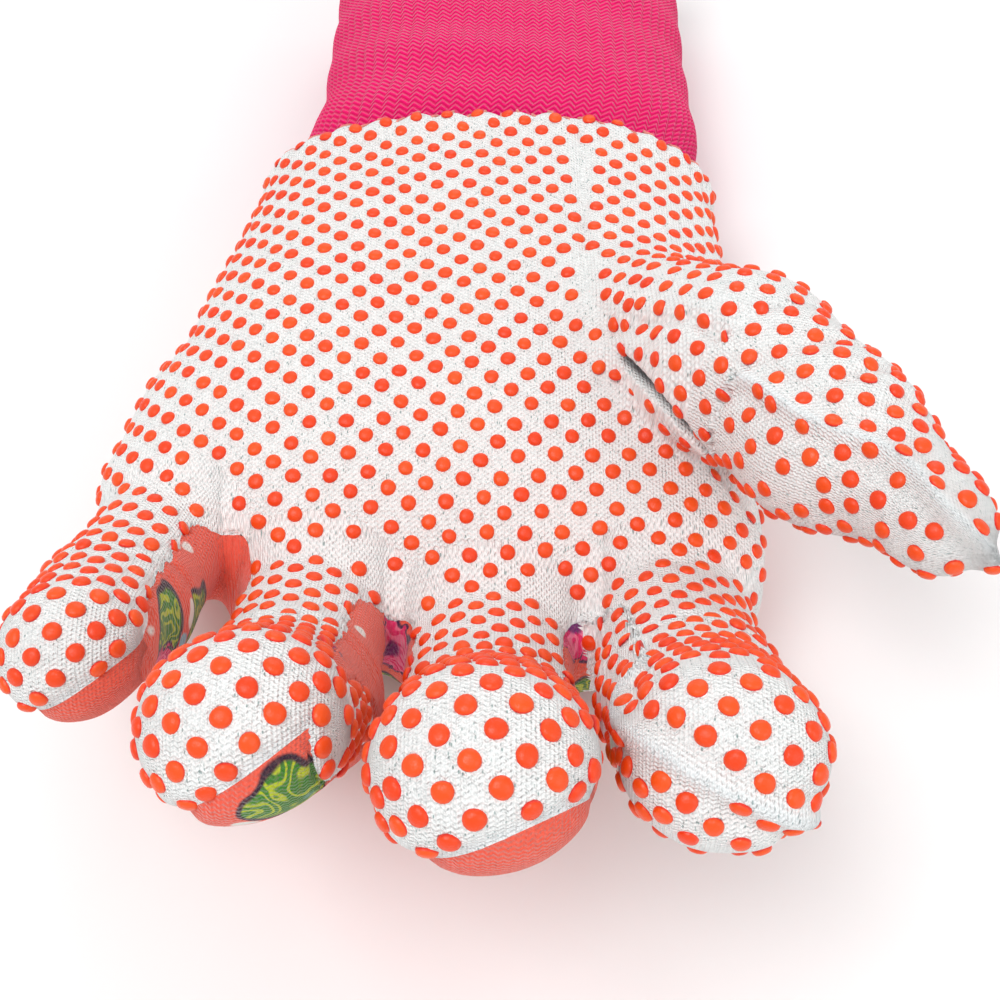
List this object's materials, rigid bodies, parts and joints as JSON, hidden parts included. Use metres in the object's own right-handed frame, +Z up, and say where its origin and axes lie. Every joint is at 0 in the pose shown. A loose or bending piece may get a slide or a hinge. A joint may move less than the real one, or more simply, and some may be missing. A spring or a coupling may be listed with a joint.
{
  "type": "garden glove",
  "caption": "Left-hand garden glove, worn shape: dotted grip cloth on palm, forefinger and thumb, printed cloth back, ribbed knit cuff; fingers, thumb and wrist bend.",
  "frame": {"origin": "on the resting surface, under the middle of the glove's box", "axes": "+Z up out of the palm, +Y from the fingertips towards the cuff, +X towards the thumb"},
  "size_m": [0.1078, 0.197, 0.0741],
  "materials": {
    "dotted_cotton": "white knitted cotton with raised orange-red grip dots",
    "floral_cotton": "coral cotton jersey with a printed leaf and petal pattern",
    "pink_knit": "hot pink ribbed knit",
    "grip_dots": "soft gloss orange-red vinyl",
    "seam_thread": "white sewing thread",
    "label_tape": "plain white woven tape"
  },
  "bodies": {
    "palm": {"palm_front": "dotted_cotton", "palm_back_left": "floral_cotton", "palm_back_right": "floral_cotton", "thumb_panel": "dotted_cotton", "wrist_gather": "dotted_cotton", "little_root_sleeve": "dotted_cotton", "ring_root_sleeve": "dotted_cotton", "middle_root_sleeve": "dotted_cotton", "index_root_sleeve": "dotted_cotton", "thumb_root_sleeve": "dotted_cotton"},
    "cuff": {"cuff": "pink_knit", "cuff_hem": "pink_knit", "size_label": "label_tape"},
    "little_lower": {"little_front_lower": "dotted_cotton", "little_back_lower": "floral_cotton", "little_knuckle_sleeve": "dotted_cotton"},
    "little_tip": {"little_front_tip": "dotted_cotton", "little_back_tip": "floral_cotton"},
    "ring_lower": {"ring_front_lower": "dotted_cotton", "ring_back_lower": "floral_cotton", "ring_knuckle_sleeve": "dotted_cotton"},
    "ring_tip": {"ring_front_tip": "dotted_cotton", "ring_back_tip": "floral_cotton"},
    "middle_lower": {"middle_front_lower": "dotted_cotton", "middle_back_lower": "floral_cotton", "middle_knuckle_sleeve": "dotted_cotton"},
    "middle_tip": {"middle_front_tip": "dotted_cotton", "middle_back_tip": "floral_cotton"},
    "index_lower": {"index_front_lower": "dotted_cotton", "index_back_lower": "dotted_cotton", "index_knuckle_sleeve": "dotted_cotton"},
    "index_tip": {"index_front_tip": "dotted_cotton", "index_back_tip": "dotted_cotton"},
    "thumb_lower": {"thumb_front_lower": "dotted_cotton", "thumb_back_lower": "dotted_cotton", "thumb_knuckle_sleeve": "dotted_cotton"},
    "thumb_tip": {"thumb_front_tip": "dotted_cotton", "thumb_back_tip": "dotted_cotton"}
  },
  "joints": [
    {"name": "wrist_bend", "type": "hinge", "parent": "palm", "child": "cuff", "pos_m": [0, 0.0385, 0.017], "axis": [1, 0, 0], "range_deg": [-22, 22], "deforming": ["wrist_gather"]},
    {"name": "little_root_bend", "type": "hinge", "parent": "palm", "child": "little_lower", "pos_m": [-0.0437, -0.0355, 0.0205], "axis": [-1, 0, 0], "range_deg": [-34, 28], "deforming": ["little_root_sleeve"]},
    {"name": "little_knuckle_bend", "type": "hinge", "parent": "little_lower", "child": "little_tip", "pos_m": [-0.0457, -0.054, 0.0325], "axis": [-1, 0, 0], "range_deg": [-28, 38], "deforming": ["little_knuckle_sleeve"]},
    {"name": "ring_root_bend", "type": "hinge", "parent": "palm", "child": "ring_lower", "pos_m": [-0.0238, -0.045, 0.0175], "axis": [-1, 0, 0], "range_deg": [-34, 28], "deforming": ["ring_root_sleeve"]},
    {"name": "ring_knuckle_bend", "type": "hinge", "parent": "ring_lower", "child": "ring_tip", "pos_m": [-0.0239, -0.066, 0.0326], "axis": [-1, 0, 0], "range_deg": [-28, 38], "deforming": ["ring_knuckle_sleeve"]},
    {"name": "middle_root_bend", "type": "hinge", "parent": "palm", "child": "middle_lower", "pos_m": [-0.0008, -0.049, 0.0158], "axis": [-1, 0, 0], "range_deg": [-35, 28], "deforming": ["middle_root_sleeve"]},
    {"name": "middle_knuckle_bend", "type": "hinge", "parent": "middle_lower", "child": "middle_tip", "pos_m": [-0.0008, -0.0695, 0.031], "axis": [-1, 0, 0], "range_deg": [-28, 38], "deforming": ["middle_knuckle_sleeve"]},
    {"name": "index_root_bend", "type": "hinge", "parent": "palm", "child": "index_lower", "pos_m": [0.0237, -0.046, 0.0175], "axis": [-1, 0, 0], "range_deg": [-34, 20], "deforming": ["index_root_sleeve"]},
    {"name": "index_knuckle_bend", "type": "hinge", "parent": "index_lower", "child": "index_tip", "pos_m": [0.0233, -0.066, 0.0328], "axis": [-1, 0, 0], "range_deg": [-28, 28], "deforming": ["index_knuckle_sleeve"]},
    {"name": "thumb_root_bend", "type": "hinge", "parent": "palm", "child": "thumb_lower", "pos_m": [0.0322, -0.024, 0.042], "axis": [0.485, -0.05, -0.8731], "range_deg": [-26, 4], "deforming": ["thumb_root_sleeve"]},
    {"name": "thumb_knuckle_bend", "type": "hinge", "parent": "thumb_lower", "child": "thumb_tip", "pos_m": [0.0399, -0.039, 0.0472], "axis": [0.485, -0.05, -0.8731], "range_deg": [-16, 9], "deforming": ["thumb_knuckle_sleeve"]}
  ]
}
